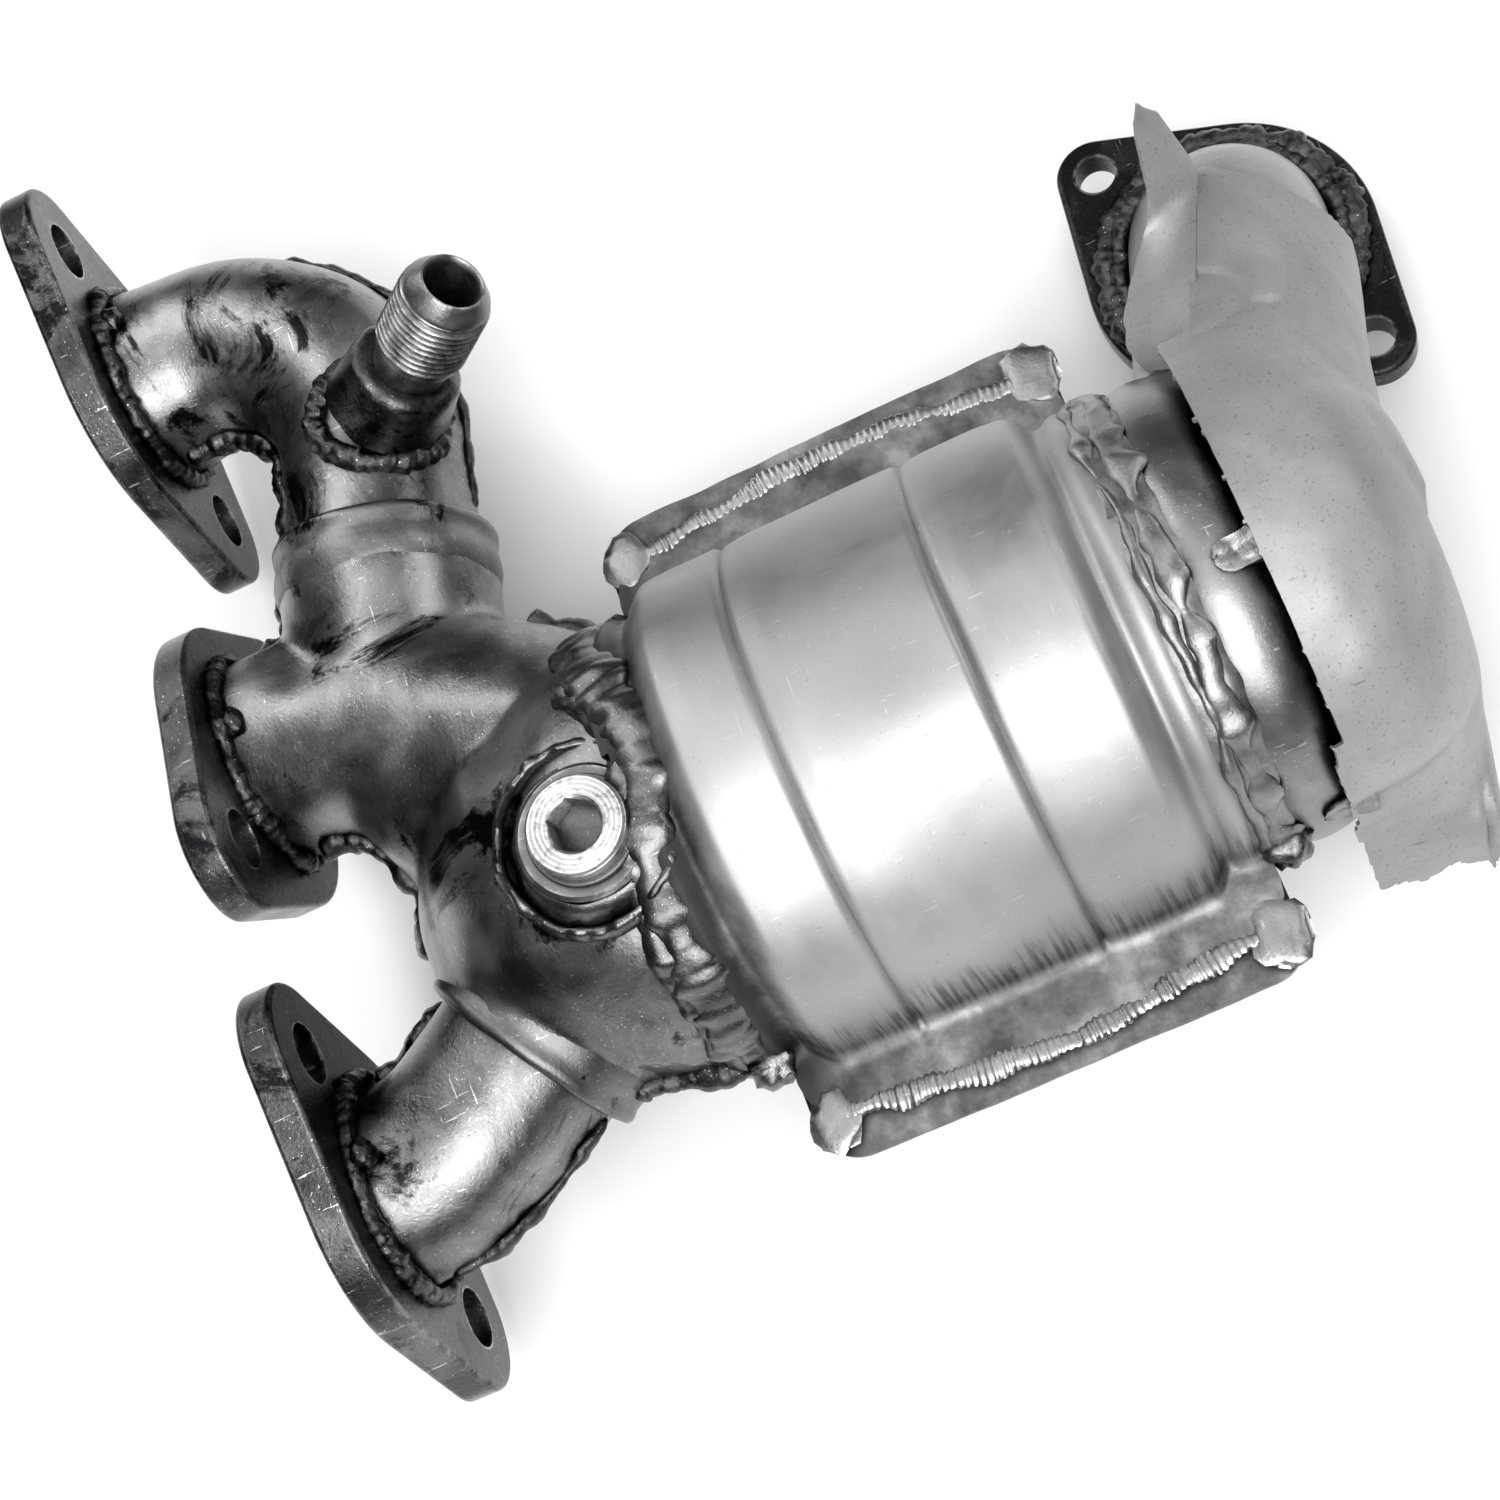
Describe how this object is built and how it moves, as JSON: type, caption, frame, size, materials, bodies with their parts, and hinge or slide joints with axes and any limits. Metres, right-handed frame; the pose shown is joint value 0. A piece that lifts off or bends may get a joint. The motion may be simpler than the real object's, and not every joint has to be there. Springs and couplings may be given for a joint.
{
  "type": "exhaust manifold with close-coupled catalytic converter",
  "caption": "Fabricated exhaust manifold whose runners meet in a stamped collector and a close-coupled catalytic converter, with a shielded outlet elbow.",
  "frame": {"origin": "centre of the middle port on its gasket face", "axes": "+Y out of the ports into the cylinder head, +X along the row of ports towards the gas take-off fitting, +Z the side with the sensor port, away from the outlet flange's face"},
  "size_m": [0.277, 0.272, 0.1077],
  "materials": {
    "flange_steel": "dark heat-stained steel plate with an oily film",
    "runner_steel": "dark glossy heat-stained stainless steel",
    "converter_steel": "satin stainless sheet, lightly heat stained",
    "housing_steel": "satin stainless sheet, grey heat stain",
    "outlet_steel": "near-black steel plate",
    "shield_sheet": "matte aluminised sheet",
    "fitting_steel": "machined steel, darkened by heat",
    "plug_steel": "bright turned steel",
    "washer_copper": "dulled sealing washer",
    "brick_ceramic": "pale porous ceramic",
    "mat_fibre": "fibre support mat",
    "wire_seal": "knitted wire ring"
  },
  "bodies": {
    "manifold": {"port_flange_1": "flange_steel", "port_flange_2": "flange_steel", "port_flange_3": "flange_steel", "upper_elbow_top": "runner_steel", "upper_elbow_bottom": "runner_steel", "lower_elbow_top": "runner_steel", "lower_elbow_bottom": "runner_steel", "collector_top": "runner_steel", "collector_bottom": "runner_steel", "converter_top": "converter_steel", "converter_bottom": "converter_steel", "outlet_housing_top": "housing_steel", "outlet_housing_bottom": "housing_steel", "egr_fitting": "fitting_steel", "sensor_bung": "fitting_steel", "catalyst_brick": "brick_ceramic", "support_mat": "mat_fibre", "front_seal_ring": "wire_seal", "rear_seal_ring": "wire_seal", "inlet_liner": "housing_steel", "outlet_flange": "outlet_steel", "heat_shield": "shield_sheet", "shield_standoff_upper": "housing_steel", "shield_standoff_side": "housing_steel"},
    "plug_carriage": {"plug_gasket": "washer_copper"},
    "plug": {"sensor_plug": "plug_steel"}
  },
  "joints": [
    {"name": "plug_travel", "type": "slide", "parent": "manifold", "child": "plug_carriage", "axis": [0, 0, 1], "range_m": [0, 0.01205]},
    {"name": "plug_turn", "type": "hinge", "parent": "plug_carriage", "child": "plug", "pos_m": [-0.062, -0.0795, 0.0472], "axis": [0, 0, 1], "range_deg": [0, 2880]}
  ],
  "couplings": [
    {"joint": "plug_travel", "follows": "plug_turn", "m_per_rad": 0.00023873}
  ]
}
